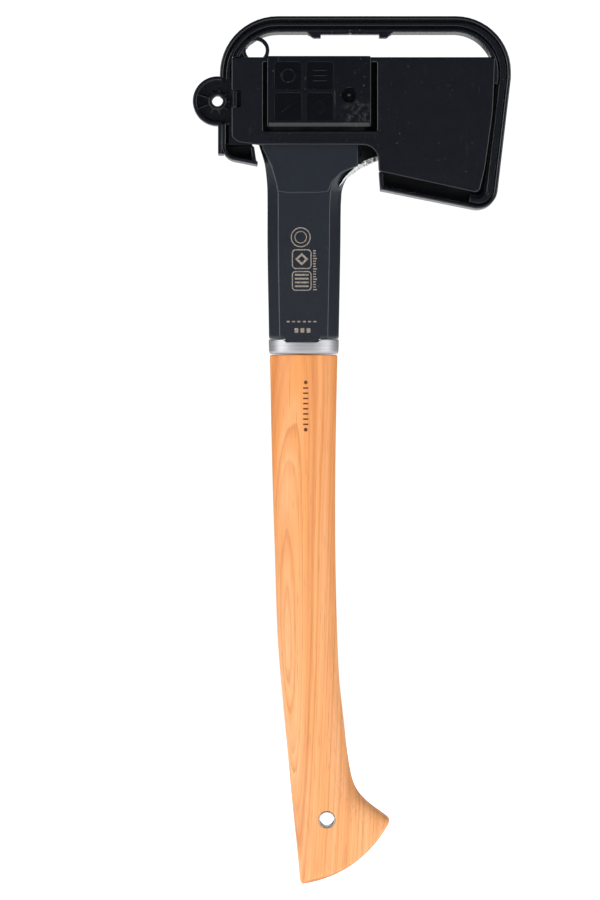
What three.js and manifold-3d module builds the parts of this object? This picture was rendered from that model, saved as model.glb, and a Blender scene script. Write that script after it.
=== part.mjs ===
// Carving hatchet in its moulded sheath. Millimetres, +Z up.
// The handle stands along Z with its butt at Z = 0, the bit points to +X and the
// sheath's front plate faces -Y. X = 0 and Y = 0 are the handle's axis at the ferrule.
import * as THREE from 'three';
import { mergeVertices } from 'three/addons/utils/BufferGeometryUtils.js';
import Module from 'manifold-3d';

const wasm = await Module();
wasm.setup();

// ---------------------------------------------------------------- driving dimensions
const GAP = 0.3;                 // running gap between pieces that touch

// Levels of the hatchet, from the butt up
const WOOD_TOP = 308.1;
const FERRULE_BOTTOM = 308.4;
const FERRULE_TOP = 316.9;
const SHAFT_BOTTOM = 317.2;
const HEAD_BOTTOM = 430.7;       // underside of the poll and eye
const HEAD_TOP = 477.4;

// Head
const POLL_X = -37.6;
const POLL_HALF = 11.5;
const CHEEK_HALF = 14.5;
const BEARD_X = 44.6;            // inner corner of the beard
const BEARD_SLOPE = Math.tan(THREE.MathUtils.degToRad(12.2));
const HEEL_Z = 403.1;            // underside of the beard, 100 mm out
const EDGE_X = 109.4;            // furthest point of the cutting edge
const EDGE_LEVEL = 475;
const EDGE_RADIUS = 280;
const EYE = { left: -16, right: 24, half: 8.5 };

// Handle and its joint
const ROD_RADIUS = 4;
const TENON = { left: -10.5, right: 10.5, half: 7, bottom: 262 };
const FERRULE_WALL = 1.3;
const NOTCH = { left: -12.3, right: 10.7, floor: 314.9 };
const LANYARD = { x: 13.4, z: 38.3, outer: 4.9, inner: 4.1, half: 12.8 };

// Sheath: depths along Y, then outlines
const PLATE = { front: -19, back: -16.6, top: 480, right: 110.9 };
const SHELL = { front: -18.3, back: 13, wall: 2.3 };
const DECK = { back: 11, thick: 2 };
const LOOP = { left: -48.6, right: 119.9, top: 503.8, height: 9.3, inner: 1.6 };
const CHANNEL = { front: -14.6, back: -12.2 };   // floor of the channel between the shell's rims
const HUB = { x: -50, z: 454.7, radius: 14.3, wall: 2.5, boss: 5.2, bore: 3.1, front: -16.3, back: -4.5 };
const HUB_RIBS = 9;
const EYELET = { x: -27.8, z: 484, hole: 5.75, radius: 8, front: -15, back: -10 };
const POLL_SIDE = -41.5;         // hub, loop foot and tail stay left of this plane
const GUARD_SPLIT = 467.5;       // level where the carry loop becomes the edge guard
const GUARD_CORNER = { x: 110.7, z: 390, radius: 11.6 };
const GUARD_END = { x: 44.4, z: 403.3 };
const BIT_LIP = 97;              // the back wall laps behind the bit beyond this X
const TONGUE = { left: -21.2, right: 38.9, bottom: 439.6, top: 480.6, front: -20.4, back: -18.2 };
const WINDOW = { left: -43, right: -36, bottom: 450.8, top: 461.4 };
const LATCH = { left: -41.1, right: -38.9, bottom: 451.2, top: 460.7, front: -18.6, back: 14.6 };

// ---------------------------------------------------------------- solids
function toSolid(geometry) {
  geometry.deleteAttribute('normal');
  geometry.deleteAttribute('uv');
  const merged = mergeVertices(geometry, 1e-4);
  const vertProperties = new Float32Array(merged.attributes.position.array);
  const triVerts = new Uint32Array(merged.index.array);
  return new wasm.Manifold(new wasm.Mesh({ numProp: 3, vertProperties, triVerts }));
}

function toGeometry(solid) {
  const { vertProperties, triVerts } = solid.getMesh();
  const geometry = new THREE.BufferGeometry();
  geometry.setAttribute('position', new THREE.BufferAttribute(vertProperties, 3));
  geometry.setIndex(new THREE.BufferAttribute(triVerts, 1));
  geometry.computeVertexNormals();
  return geometry;
}

const join = (first, ...others) => others.reduce((whole, next) => whole.add(next), first);
const cut = (first, ...others) => others.reduce((whole, next) => whole.subtract(next), first);

// A flat outline in the X-Z plane, given thickness from y = front to y = back
function prism(outline, front, back) {
  const shape = new THREE.Shape(outline);
  const geometry = new THREE.ExtrudeGeometry(shape, { depth: back - front, bevelEnabled: false });
  geometry.rotateX(Math.PI / 2);
  geometry.translate(0, back, 0);
  return toSolid(geometry);
}

function block(left, right, front, back, bottom, top) {
  const geometry = new THREE.BoxGeometry(right - left, back - front, top - bottom);
  geometry.translate((left + right) / 2, (front + back) / 2, (bottom + top) / 2);
  return toSolid(geometry);
}

// A round bar along Y
function bar(x, z, radius, front, back, sides = 40) {
  const geometry = new THREE.CylinderGeometry(radius, radius, back - front, sides);
  geometry.translate(x, (front + back) / 2, z);
  return toSolid(geometry);
}

// An oval outline at one level: a superellipse between left and right, half thick in Y
function oval(level, left, right, half, power = 2.3, count = 32) {
  const middle = (left + right) / 2;
  const reach = (right - left) / 2;
  const bend = (value) => Math.sign(value) * Math.abs(value) ** (2 / power);
  return Array.from({ length: count }, (_, index) => {
    const angle = (index / count) * 2 * Math.PI;
    const x = middle + reach * bend(Math.cos(angle));
    return new THREE.Vector3(x, half * bend(Math.sin(angle)), level);
  });
}

// A closed skin through rings of points, lowest ring first, each ring anticlockwise from above
function loft(rings) {
  const count = rings[0].length;
  const points = rings.flat();
  const triangles = [];
  for (let level = 0; level + 1 < rings.length; level += 1) {
    for (let index = 0; index < count; index += 1) {
      const a = level * count + index;
      const b = level * count + ((index + 1) % count);
      triangles.push(a, b, b + count, a, b + count, a + count);
    }
  }
  const last = (rings.length - 1) * count;
  for (let index = 1; index + 1 < count; index += 1) {
    triangles.push(0, index + 1, index, last, last + index, last + index + 1);
  }
  const geometry = new THREE.BufferGeometry();
  geometry.setAttribute('position', new THREE.Float32BufferAttribute(points.flatMap((p) => p.toArray()), 3));
  geometry.setIndex(triangles);
  return toSolid(geometry);
}

// ---------------------------------------------------------------- outlines
// Corners are [x, z, radius]; the ends of an open path keep no radius
function rounded(corners, closed = true) {
  const points = [];
  corners.forEach(([x, z, radius = 0], index) => {
    const here = new THREE.Vector2(x, z);
    const before = corners[(index + corners.length - 1) % corners.length];
    const after = corners[(index + 1) % corners.length];
    const isEnd = !closed && (index === 0 || index === corners.length - 1);
    if (!radius || isEnd) {
      points.push(here);
      return;
    }
    const back = new THREE.Vector2(before[0], before[1]).sub(here).normalize();
    const ahead = new THREE.Vector2(after[0], after[1]).sub(here).normalize();
    const half = Math.acos(THREE.MathUtils.clamp(back.dot(ahead), -1, 1)) / 2;
    const start = here.clone().addScaledVector(back, radius / Math.tan(half));
    const end = here.clone().addScaledVector(ahead, radius / Math.tan(half));
    const bisector = back.clone().add(ahead).normalize();
    const centre = here.clone().addScaledVector(bisector, radius / Math.sin(half));
    const from = start.clone().sub(centre).angle();
    let turn = end.clone().sub(centre).angle() - from;
    turn = Math.atan2(Math.sin(turn), Math.cos(turn));
    const steps = Math.max(2, Math.ceil(Math.abs(turn) / (Math.PI / 18)));
    for (let step = 0; step <= steps; step += 1) {
      const angle = from + (turn * step) / steps;
      const offset = new THREE.Vector2(Math.cos(angle), Math.sin(angle)).multiplyScalar(radius);
      points.push(centre.clone().add(offset));
    }
  });
  return points;
}

// An open path moved sideways, to the right of its direction of travel
function shifted(path, distance) {
  return path.map((point, index) => {
    const into = point.clone().sub(path[Math.max(index - 1, 0)]).normalize();
    const out = path[Math.min(index + 1, path.length - 1)].clone().sub(point).normalize();
    const along = into.clone().add(out).normalize();
    const cosine = Math.max(along.dot(index ? into : out), 0.5);
    return point.clone().add(new THREE.Vector2(along.y, -along.x).multiplyScalar(distance / cosine));
  });
}

// A wall that follows a path, from one sideways distance to another
function wall(path, near, far, front, back) {
  return prism([...shifted(path, near), ...shifted(path, far).reverse()], front, back);
}

// A smooth curve value = f(level) through a few points [level, value], levels rising
function smooth(points) {
  const slope = (index) => {
    const low = points[Math.max(index - 1, 0)];
    const high = points[Math.min(index + 1, points.length - 1)];
    return (high[1] - low[1]) / (high[0] - low[0]);
  };
  return (level) => {
    let index = 0;
    while (index < points.length - 2 && level > points[index + 1][0]) {
      index += 1;
    }
    const [from, start] = points[index];
    const [to, end] = points[index + 1];
    const span = to - from;
    const t = THREE.MathUtils.clamp((level - from) / span, 0, 1);
    const hermite = start * (1 + 2 * t) * (1 - t) ** 2 + end * t * t * (3 - 2 * t);
    return hermite + span * (slope(index) * t * (1 - t) ** 2 - slope(index + 1) * t * t * (1 - t));
  };
}

const levels = (from, to, count) => Array.from({ length: count + 1 }, (_, i) => from + ((to - from) * i) / count);

// ---------------------------------------------------------------- hatchet
const bitEdge = (level) => EDGE_X - (level - EDGE_LEVEL) ** 2 / (2 * EDGE_RADIUS);

const beardBottom = (x) => HEEL_Z + (100 - x) * BEARD_SLOPE;

// Half of the head seen from above, from poll to edge; the bevels follow the curved edge
function headRing(level) {
  const stretch = (bitEdge(level) - 34) / (EDGE_X - 34);
  const half = [
    [POLL_X, POLL_HALF - 1.5],
    [POLL_X + 1.5, POLL_HALF],
    [-22, 12.3],
    [-11, CHEEK_HALF],
    [15, CHEEK_HALF],
    [26, 12.4],
    [34, 9.6],
    [34 + 20 * stretch, 6.4],
    [34 + 42 * stretch, 4],
    [34 + 62 * stretch, 2.4],
    [bitEdge(level), 0.25],
  ];
  const near = half.map(([x, y]) => new THREE.Vector3(x, -y, level));
  const far = half.map(([x, y]) => new THREE.Vector3(x, y, level)).reverse();
  return [...near, ...far];
}

function axeHead() {
  const side = rounded([
    [POLL_X, HEAD_TOP, 2],
    [POLL_X, HEAD_BOTTOM + 1, 4],
    [POLL_X + 8, HEAD_BOTTOM, 6],
    [BEARD_X, HEAD_BOTTOM, 9],
    [BEARD_X, beardBottom(BEARD_X), 1.5],
    [115, beardBottom(115)],
    [115, HEAD_TOP],
  ]);
  const body = loft(levels(HEEL_Z - 4, HEAD_TOP, 12).map(headRing));
  const shaped = body.intersect(prism(side, -20, 20));
  const eye = loft([HEAD_BOTTOM - 1, HEAD_TOP + 1].map((z) => oval(z, EYE.left, EYE.right, EYE.half)));
  return cut(shaped, eye);
}

function rod(grow = 0, bottom = 236, top = 372) {
  const geometry = new THREE.CylinderGeometry(ROD_RADIUS + grow, ROD_RADIUS + grow, top - bottom + 2 * grow, 24);
  geometry.rotateX(Math.PI / 2);
  geometry.translate(0, 0, (bottom + top) / 2);
  return toSolid(geometry);
}

function tenon(grow = 0) {
  const ring = (z) => oval(z, TENON.left - grow, TENON.right + grow, TENON.half + grow);
  return loft([ring(TENON.bottom - grow), ring(FERRULE_BOTTOM + 2)]);
}

function compositeShaft() {
  const left = smooth([[317, -20.3], [370, -21.2], [408, -21.3], [419, -22.6], [430, -26.4]]);
  const right = smooth([[317, 20.4], [370, 21.4], [402, 22.4], [409, 24], [417, 31.6], [423, 36], [430, 34.5]]);
  const half = smooth([[317, 13.4], [370, 13.8], [410, 14.2], [430, 14.4]]);
  const stack = [SHAFT_BOTTOM, 340, 370, 395, 402, 406, 409, 412, 415, 418, 421, 424, 427, HEAD_BOTTOM - GAP];
  const body = loft(stack.map((z) => oval(z, left(z), right(z), half(z), 2.6)));
  const neckRing = (z) => oval(z, EYE.left + GAP, EYE.right - GAP, EYE.half - GAP);
  const neck = loft([HEAD_BOTTOM - 3, HEAD_TOP - 0.4].map(neckRing));
  const inside = FERRULE_WALL + GAP;
  const spigotRing = (z) => oval(z, -20.4 + inside, 20.4 - inside, 13.5 - inside);
  const spigot = loft([FERRULE_BOTTOM + 0.2, SHAFT_BOTTOM + 1].map(spigotRing));
  const shield = prism(rounded([
    [-14.6, 402.2, 1], [14.4, 402.2, 1], [24.1, 414.1, 1], [24.1, 428.2], [-18.4, 428.2], [-18.4, 423.4, 1],
  ]), -15.2, -11);
  const lip = block(NOTCH.left + 0.5, NOTCH.right - 0.5, -13.5, -12.4, NOTCH.floor + GAP, SHAFT_BOTTOM + 1);
  const facet = shield.intersect(loft([400, 432].map((z) => oval(z, -24, 28, 15.2, 3.4))));
  return cut(join(body, neck, spigot, tenon(), facet, lip), rod(GAP));
}

function ferrule() {
  const ring = (z, inset) => oval(z, -20.4 + inset, 20.4 - inset, 13.6 - inset);
  const outside = loft([ring(FERRULE_BOTTOM, 0.5), ring(FERRULE_BOTTOM + 1.2, 0.05), ring(FERRULE_TOP, 0)]);
  const inside = loft([ring(FERRULE_BOTTOM - 1, FERRULE_WALL), ring(FERRULE_TOP + 1, FERRULE_WALL)]);
  const notch = block(NOTCH.left, NOTCH.right, -16, -10, NOTCH.floor, FERRULE_TOP + 1);
  return cut(outside, inside, notch);
}

// The hickory handle: ovals between two long curves, ended by the sweep of the butt
function woodHandle() {
  const left = smooth([[-4, -2.5], [14, -3.4], [49, -6.8], [96, -11.1], [142, -15.1], [194, -16.9], [309, -19.8]]);
  const right = smooth([
    [-4, 54], [30, 52.5], [38, 50.5], [43.5, 42], [52, 32.4], [61, 28.2], [72, 26.1], [96, 23.2],
    [142, 19.6], [194, 18.4], [250, 18.5], [309, 19.6],
  ]);
  const half = smooth([[-4, 13], [40, 13.2], [90, 12.6], [170, 12.8], [309, 13.4]]);
  const stack = [-4, 8, 20, 30, 36, 40, 44, 48, 53, 58, 65, 75, 90, 110, 135, 160, 190, 220, 250, 280, WOOD_TOP];
  const body = loft(stack.map((z) => oval(z, left(z), right(z), half(z))));
  const side = rounded([
    [-30, 320], [-30, 40], [-2.2, -0.4, 1.5], [6, 0.9, 12], [22, 7.4, 40], [37, 19.6, 40],
    [51.4, 38.2, 2.2], [60, 60], [60, 320],
  ]);
  const hole = bar(LANYARD.x, LANYARD.z, LANYARD.outer + GAP, -20, 20, 32);
  return cut(body.intersect(prism(side, -20, 20)), hole, tenon(GAP), rod(GAP), socketMouth());
}

// Clears the tenon's mouth up through the top of the wood
function socketMouth() {
  const ring = (z) => oval(z, TENON.left - GAP, TENON.right + GAP, TENON.half + GAP);
  return loft([ring(WOOD_TOP - 4), ring(WOOD_TOP + 4)]);
}

function lanyardTube() {
  const outside = bar(LANYARD.x, LANYARD.z, LANYARD.outer, -LANYARD.half, LANYARD.half, 32);
  return cut(outside, bar(LANYARD.x, LANYARD.z, LANYARD.inner, -20, 20, 32));
}

// ---------------------------------------------------------------- sheath
const hubKeepOut = () => bar(HUB.x, HUB.z, HUB.radius + GAP, -25, 25, 48);

const loopPath = rounded([
  [LOOP.left, HUB.z + 8],
  [LOOP.left, LOOP.top, 33.5],
  [LOOP.right, LOOP.top, 32],
  [LOOP.right, GUARD_SPLIT + GAP],
], false);

// One grip tooth under the loop's bar, between two levels and two slopes
function gripTooth(outer, inner) {
  const top = LOOP.top - LOOP.height;
  return prism([
    new THREE.Vector2(outer, top + 1), new THREE.Vector2(outer, top), new THREE.Vector2(outer + inner * 3.2, top - 3.4),
    new THREE.Vector2(outer + inner * 8, top - 3.4), new THREE.Vector2(outer + inner * 8, top + 1),
  ], SHELL.front, SHELL.back);
}

function carryLoop() {
  const innerFar = LOOP.height;
  const rim = wall(loopPath, 0, SHELL.wall, SHELL.front, SHELL.back);
  const grip = wall(loopPath, innerFar - LOOP.inner, innerFar, SHELL.front, SHELL.back);
  const web = wall(loopPath, SHELL.wall - 0.2, innerFar - LOOP.inner + 0.2, CHANNEL.front, CHANNEL.back);
  const eyelet = bar(EYELET.x, EYELET.z, EYELET.radius, EYELET.front, EYELET.back);
  const barBottom = LOOP.top - LOOP.height;
  const thickBar = block(9.5, 44, SHELL.front, SHELL.back, barBottom - 1.3, barBottom + 0.5);
  const inside = join(grip, web, eyelet, thickBar, gripTooth(1.8, 1), gripTooth(51.6, -1));
  const eyeletHole = bar(EYELET.x, EYELET.z, EYELET.hole, -25, 25);
  const below = block(POLL_SIDE, 140, -30, 30, 400, PLATE.top + GAP);
  const footBelow = block(-60, POLL_SIDE, -30, 30, 400, 469.5);
  return cut(join(rim, cut(inside, below, eyeletHole)), hubKeepOut(), footBelow);
}

function hubDisc() {
  const { x, z, radius, front, back } = HUB;
  const tube = (outer, inner) => cut(bar(x, z, outer, front, back, 48), bar(x, z, inner, -30, 30, 48));
  const floor = cut(bar(x, z, radius - 1, back - 2, back, 48), bar(x, z, HUB.bore, -30, 30, 48));
  const ribs = Array.from({ length: HUB_RIBS }, (_, index) => {
    const geometry = new THREE.BoxGeometry(radius - HUB.boss - 0.6, back - front - 3, 1.1);
    geometry.translate((radius + HUB.boss - 0.9) / 2, 0, 0);
    geometry.rotateY(index * ((2 * Math.PI) / HUB_RIBS));
    geometry.translate(x, (front + back) / 2, z);
    return toSolid(geometry);
  });
  const whole = join(tube(radius, radius - HUB.wall), tube(HUB.boss, HUB.bore), floor, ...ribs);
  return cut(whole, block(POLL_SIDE, 0, -30, 30, 420, 490));
}

function tailGuard() {
  const outer = block(-49.7, -47.4, SHELL.front, SHELL.back - 1, 424, 446);
  const curved = rounded([[-47.6, 446], [-47.6, 421.8, 9], [-27.2, 417.7]], false);
  const skin = wall(curved, 0, -2.2, SHELL.front, SHELL.back - 1);
  const floorOutline = [...shifted(curved, -1), new THREE.Vector2(-29, 429.8), new THREE.Vector2(-39.2, 429.8)];
  const floor = prism([...floorOutline, new THREE.Vector2(-39.2, 446)], SHELL.back - 3, SHELL.back - 1);
  const tip = prism([
    new THREE.Vector2(-29.4, 418.6), new THREE.Vector2(-27.2, 417.9),
    new THREE.Vector2(-28.7, 428), new THREE.Vector2(-30.9, 428),
  ], SHELL.front, SHELL.back - 1);
  const abovePlate = block(POLL_SIDE, 0, -30, 0, 428.6, 460);
  return cut(join(outer, skin, floor, tip), hubKeepOut(), abovePlate);
}

const guardPath = rounded([
  [LOOP.right, GUARD_SPLIT],
  [GUARD_CORNER.x, GUARD_CORNER.z, GUARD_CORNER.radius],
  [GUARD_END.x, GUARD_END.z],
], false);

// The channel round the cutting edge: outer wall, a front floor beside the plate, and a back wall that stops
// short of the beard but laps behind the bit
function edgeGuard() {
  const rim = wall(guardPath, 0, SHELL.wall, SHELL.front, SHELL.back);
  const flange = cut(wall(guardPath, 1, 9, CHANNEL.front, CHANNEL.back), block(0, 92, -30, 30, 380, 500));
  const inside = [...shifted(guardPath, 1), new THREE.Vector2(GUARD_END.x, GUARD_SPLIT)];
  const backWall = prism(inside, SHELL.back - 2, SHELL.back);
  const overHead = prism([
    new THREE.Vector2(0, GUARD_SPLIT + 9), new THREE.Vector2(0, beardBottom(0) - 0.8),
    new THREE.Vector2(BIT_LIP, beardBottom(BIT_LIP) - 0.8), new THREE.Vector2(BIT_LIP, GUARD_SPLIT + 9),
  ], -30, 30);
  const end = prism([
    new THREE.Vector2(GUARD_END.x, GUARD_END.z), new THREE.Vector2(GUARD_END.x + 2.2, GUARD_END.z - 0.4),
    new THREE.Vector2(GUARD_END.x + 1.3, GUARD_END.z + 10), new THREE.Vector2(GUARD_END.x - 0.9, GUARD_END.z + 10.4),
  ], PLATE.back + GAP, SHELL.back);
  return join(rim, flange, cut(backWall, overHead), end);
}

const plateOutline = rounded([
  [-41.9, PLATE.top, 1.5],
  [-41.9, 433.5, 4],
  [-37.6, 430.6, 4],
  [-26.5, 429.2, 8],
  [42.6, 429.2, 9],
  [43.4, 414.1, 1.5],
  [101.4, 401.4, 3],
  [105.1, 416, 60],
  [109.6, 449, 90],
  [PLATE.right, PLATE.top, 1],
]);

function frontPlate() {
  const plate = prism(plateOutline, PLATE.front, PLATE.back);
  const deck = block(POLL_SIDE + GAP, PLATE.right - 0.8, TONGUE.back + 0.6, DECK.back, PLATE.top - DECK.thick, PLATE.top);
  const opening = block(TONGUE.left - 2.3, TONGUE.right + 3.3, -25, -10, TONGUE.bottom - 2.3, 477);
  const tongueTop = block(TONGUE.left - GAP, TONGUE.right + GAP, -25, TONGUE.back + 0.5, 470, 490);
  const window = block(WINDOW.left, WINDOW.right, -25, 14, WINDOW.bottom, WINDOW.top);
  return cut(join(plate, deck), opening, tongueTop, window);
}

// The sprung tongue: four shallow square recesses, a round dimple with its pip, and a raised lower lip
function springTongue() {
  const { left, right, bottom, top, front, back } = TONGUE;
  const body = prism(rounded([[left, bottom, 2], [right, bottom, 2], [right, top, 1], [left, top, 1]]), front, back);
  const lip = block(left + 2, right - 2, front - 0.7, front + 0.5, bottom + 0.3, bottom + 1.9);
  const recesses = [[-17, 461.4], [1.4, 461.4], [-17, 443.4], [1.4, 443.4]].map(([x, z]) => prism(rounded([
    [x, z, 2], [x + 15.8, z, 2], [x + 15.8, z + 16.3, 2], [x, z + 16.3, 2],
  ]), front - 1, front + 0.6));
  const dimple = bar(26.2, 458.2, 4.9, front - 1, front + 0.8, 32);
  const pip = bar(26.2, 458.2, 1, front, front + 1.2, 16);
  return join(cut(body, ...recesses, dimple), lip, pip);
}

function snapLatch() {
  const { left, right, bottom, top, front, back } = LATCH;
  const arm = block(left, right, front, back, bottom, top);
  const hook = prism(rounded([
    [left + 0.5, bottom + 1, 0.5], [right + 1, bottom + 1, 0.5], [right + 1, top - 1, 0.5], [left + 0.5, top - 1, 0.5],
  ]), POLL_HALF + 1.2, back);
  return join(arm, hook);
}

// ---------------------------------------------------------------- assembly
const finish = (color, roughness, metalness = 0) => new THREE.MeshStandardMaterial({ color, roughness, metalness });
const black = () => finish(0x17191c, 0.42);

const hatchet = new THREE.Group();

function place(name, solid, material) {
  const mesh = new THREE.Mesh(toGeometry(solid), material);
  mesh.name = name;
  hatchet.add(mesh);
}

place('axe_head', axeHead(), finish(0x8d9196, 0.38, 1));
place('composite_shaft', compositeShaft(), finish(0x1e242c, 0.45));
place('joining_rod', rod(), finish(0xa6a8aa, 0.35, 1));
place('ferrule', ferrule(), finish(0x96989c, 0.3, 1));
place('wood_handle', woodHandle(), finish(0xf0b27c, 0.55));
place('lanyard_tube', lanyardTube(), finish(0xb9bbbd, 0.3, 1));
place('front_plate', frontPlate(), black());
place('spring_tongue', springTongue(), finish(0x14161a, 0.25));
place('snap_latch', snapLatch(), black());
place('carry_loop', carryLoop(), black());
place('hub_disc', hubDisc(), black());
place('tail_guard', tailGuard(), black());
place('edge_guard', edgeGuard(), black());

export default hatchet;
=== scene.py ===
"""Carving hatchet in its moulded sheath: the looks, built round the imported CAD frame.
Shapes are worked out in millimetres and turned into metres when a mesh is made."""
import math
import random

import bmesh
import bpy
from mathutils import Matrix, Vector
from mathutils.bvhtree import BVHTree


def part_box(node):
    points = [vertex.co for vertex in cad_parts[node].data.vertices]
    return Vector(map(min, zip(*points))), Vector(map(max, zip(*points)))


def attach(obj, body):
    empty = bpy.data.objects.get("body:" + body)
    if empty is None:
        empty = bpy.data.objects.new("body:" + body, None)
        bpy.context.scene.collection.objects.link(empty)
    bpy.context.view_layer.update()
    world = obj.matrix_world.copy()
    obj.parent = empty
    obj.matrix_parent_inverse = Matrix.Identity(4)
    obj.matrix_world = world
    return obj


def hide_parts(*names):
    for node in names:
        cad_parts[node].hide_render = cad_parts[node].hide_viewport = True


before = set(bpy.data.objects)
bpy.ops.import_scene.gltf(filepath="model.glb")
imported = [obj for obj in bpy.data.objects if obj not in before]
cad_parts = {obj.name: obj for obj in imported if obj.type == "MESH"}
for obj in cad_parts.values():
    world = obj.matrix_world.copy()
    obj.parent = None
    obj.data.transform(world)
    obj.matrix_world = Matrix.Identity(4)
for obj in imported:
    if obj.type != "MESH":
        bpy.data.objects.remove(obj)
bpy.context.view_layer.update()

MM = 0.001


def node_box(node):
    """Lowest and highest corner of a CAD node, in millimetres."""
    low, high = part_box(node)
    return low / MM, high / MM


# ---- driving sizes, in mm
HEAD_LOW, HEAD_HIGH = node_box("axe_head")
COLLAR_LOW, COLLAR_HIGH = node_box("ferrule")
WOOD_TOP = node_box("wood_handle")[1].z
TUBE_LOW, TUBE_HIGH = node_box("lanyard_tube")
PLATE_LOW, PLATE_HIGH = node_box("front_plate")
TONGUE_LOW, TONGUE_HIGH = node_box("spring_tongue")
LATCH_LOW, LATCH_HIGH = node_box("snap_latch")
LOOP_LOW, LOOP_HIGH = node_box("carry_loop")
HUB_LOW, HUB_HIGH = node_box("hub_disc")
TAIL_LOW = node_box("tail_guard")[0]

PLATE_FRONT = PLATE_LOW.y
PLATE_THICK = 2.4
PLATE_TOP = PLATE_HIGH.z
SHELL_FRONT, SHELL_BACK = LOOP_LOW.y, LOOP_HIGH.y
FLOOR_FRONT = SHELL_FRONT + 6.0  # floor of the channel between the rims
FLOOR_BACK = FLOOR_FRONT + 2.4
HUB_RADIUS, HUB_BORE = 14.3, 3.1
HUB_CENTRE = (HUB_LOW.x + HUB_RADIUS, (HUB_LOW.z + HUB_HIGH.z) / 2)
TUBE_CENTRE = ((TUBE_LOW.x + TUBE_HIGH.x) / 2, (TUBE_LOW.z + TUBE_HIGH.z) / 2)
TUBE_OUTER, TUBE_INNER = (TUBE_HIGH.x - TUBE_LOW.x) / 2, 4.1
HEAD_LOW_EYE = 430.2  # underside of the steel round the eye
POLL_SIDE = -41.5  # inner face of the sheath beside the poll
TAIL_STUB = 424.0  # lower end of the stub below the hub
BEYOND = 30  # a cut from -BEYOND to BEYOND goes through everything


# ---- camera
CAMERA_DISTANCE = 4.2
CAMERA_SIDE, CAMERA_HEIGHT = -0.0022, 0.2526
FRAME_HEIGHT = 0.5232  # height of the picture at the handle's axis
camera_data = bpy.data.cameras.new("camera")
camera_data.sensor_width = 36
camera_data.lens = camera_data.sensor_width * CAMERA_DISTANCE / FRAME_HEIGHT
camera_data.clip_end = 20
camera = bpy.data.objects.new("camera", camera_data)
camera.location = (CAMERA_SIDE, -CAMERA_DISTANCE, CAMERA_HEIGHT)
camera.rotation_euler = (math.pi / 2, 0, 0)
bpy.context.scene.collection.objects.link(camera)
bpy.context.scene.camera = camera
bpy.context.scene.view_settings.view_transform = "Standard"


# ---- outlines in the X-Z plane
def rounded(corners, closed=True, step=math.radians(7)):
    """Points round corners [x, z, radius]. The two ends of an open path stay sharp."""
    points = []
    for index, corner in enumerate(corners):
        here = Vector(corner[:2])
        radius = corner[2] if len(corner) > 2 else 0
        if not radius or (not closed and index in (0, len(corners) - 1)):
            points.append(here)
            continue
        back = (Vector(corners[index - 1][:2]) - here).normalized()
        ahead = (Vector(corners[(index + 1) % len(corners)][:2]) - here).normalized()
        half = back.angle(ahead) / 2
        start = here + back * radius / math.tan(half)
        end = here + ahead * radius / math.tan(half)
        centre = here + (back + ahead).normalized() * radius / math.sin(half)
        begin = math.atan2(start.y - centre.y, start.x - centre.x)
        turn = math.atan2(end.y - centre.y, end.x - centre.x) - begin
        turn = math.atan2(math.sin(turn), math.cos(turn))
        count = max(2, math.ceil(abs(turn) / step))
        for number in range(count + 1):
            angle = begin + turn * number / count
            points.append(centre + Vector((math.cos(angle), math.sin(angle))) * radius)
    return points


def shifted(path, distance):
    """An open path moved to the right of its direction of travel, by a number or a function of its points."""
    moved = []
    for index, point in enumerate(path):
        reach = distance(point) if callable(distance) else distance
        into = (point - path[max(index - 1, 0)]).normalized()
        out = (path[min(index + 1, len(path) - 1)] - point).normalized()
        along = (into + out).normalized()
        cosine = max(along.dot(into if index else out), 0.5)
        moved.append(point + Vector((along.y, -along.x)) * reach / cosine)
    return moved


def band(path, near, far):
    """The outline between two distances to the right of an open path."""
    return shifted(path, near) + list(reversed(shifted(path, far)))


def circle(centre, radius, count=48):
    turns = (2 * math.pi * number / count for number in range(count))
    return [Vector((centre[0] + radius * math.cos(a), centre[1] + radius * math.sin(a))) for a in turns]


def polygon(*corners):
    return [Vector(corner) for corner in corners]


def hole(loop):
    return list(reversed(loop))


def ring_loops(centre, outer, inner, count=40):
    return [circle(centre, outer, count), hole(circle(centre, inner, count))]


def bar_loop(start, end, thick):
    along = (Vector(end) - Vector(start)).normalized()
    side = Vector((along.y, -along.x)) * thick / 2
    return [Vector(start) + side, Vector(end) + side, Vector(end) - side, Vector(start) - side]


def rectangle(left, right, bottom, top, radius=0.0):
    corners = [[left, bottom, radius], [right, bottom, radius], [right, top, radius], [left, top, radius]]
    return rounded(corners)


def smooth(points):
    """A smooth curve value = f(level) through a few (level, value) points, levels rising."""
    def slope(index):
        low, high = points[max(index - 1, 0)], points[min(index + 1, len(points) - 1)]
        return (high[1] - low[1]) / (high[0] - low[0])

    def value(level):
        index = 0
        while index < len(points) - 2 and level > points[index + 1][0]:
            index += 1
        (begin, low), (end, high) = points[index], points[index + 1]
        t = min(max((level - begin) / (end - begin), 0), 1)
        curve = low * (1 + 2 * t) * (1 - t) ** 2 + high * t * t * (3 - 2 * t)
        return curve + (end - begin) * (slope(index) * t * (1 - t) ** 2 - slope(index + 1) * t * t * (1 - t))
    return value


# ---- solids
WELD = 1e-6  # metres


def repair(mesh, weld=0):
    """Faces turned outward, after points nearer than weld are joined."""
    work = bmesh.new()
    work.from_mesh(mesh)
    if weld:
        bmesh.ops.remove_doubles(work, verts=work.verts, dist=weld)
        bmesh.ops.dissolve_degenerate(work, edges=work.edges, dist=weld)
    bmesh.ops.recalc_face_normals(work, faces=work.faces)
    work.to_mesh(mesh)
    work.free()


def new_object(name, mesh):
    thing = bpy.data.objects.new(name, mesh)
    bpy.context.scene.collection.objects.link(thing)
    return thing


def from_points(name, points, faces):
    mesh = bpy.data.meshes.new(name)
    mesh.from_pydata([Vector(p) * MM for p in points], [], faces)
    repair(mesh)
    return new_object(name, mesh)


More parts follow.
